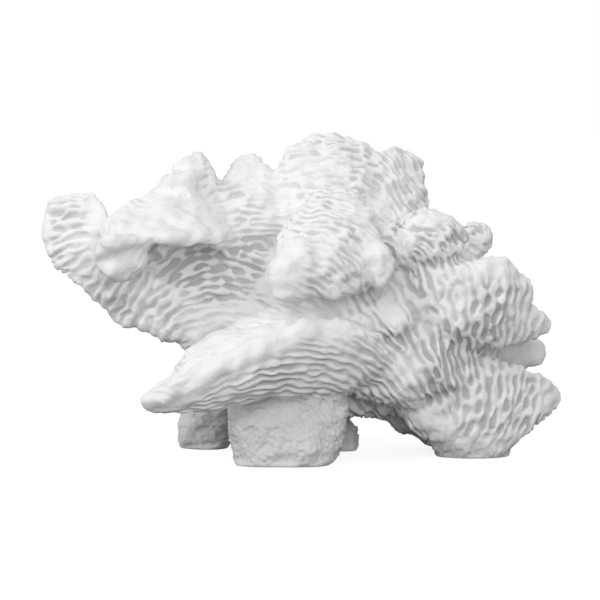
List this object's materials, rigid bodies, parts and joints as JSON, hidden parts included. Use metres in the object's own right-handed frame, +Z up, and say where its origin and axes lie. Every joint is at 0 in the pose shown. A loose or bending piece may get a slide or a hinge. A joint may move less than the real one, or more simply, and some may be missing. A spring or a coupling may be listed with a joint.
{
  "type": "ruffled ridge coral",
  "caption": "Dried white ruffled ridge coral: thick folded plates and knobs forking from one trunk, lined with wandering ridges, standing on sawn feet.",
  "frame": {"origin": "middle of the bounding box in plan, on the ground under the cut feet", "axes": "+X across the width to the right as pictured, +Y to the back, +Z up"},
  "size_m": [0.2618, 0.1588, 0.1622],
  "materials": {
    "coral": "matt chalky white skeleton, faintly grey in the valleys",
    "coral_foot": "matt, finely pitted, greyer than the plates"
  },
  "bodies": {
    "root": {"trunk": "coral", "left_bowl": "coral", "front_foot": "coral_foot", "right_lower_plate": "coral", "right_upper_plate": "coral", "crown": "coral", "hood": "coral", "front_tongue": "coral", "left_arm": "coral", "left_crest": "coral", "left_knob": "coral", "left_lip": "coral", "crown_side": "coral", "right_knob": "coral", "right_back_knob": "coral", "right_foot": "coral_foot", "right_back_lobe": "coral", "rear_left_foot": "coral_foot", "rear_mid_foot": "coral_foot", "back_shelf": "coral", "back_middle_plate": "coral", "back_left_plate": "coral", "back_right_plate": "coral"}
  },
  "joints": []
}
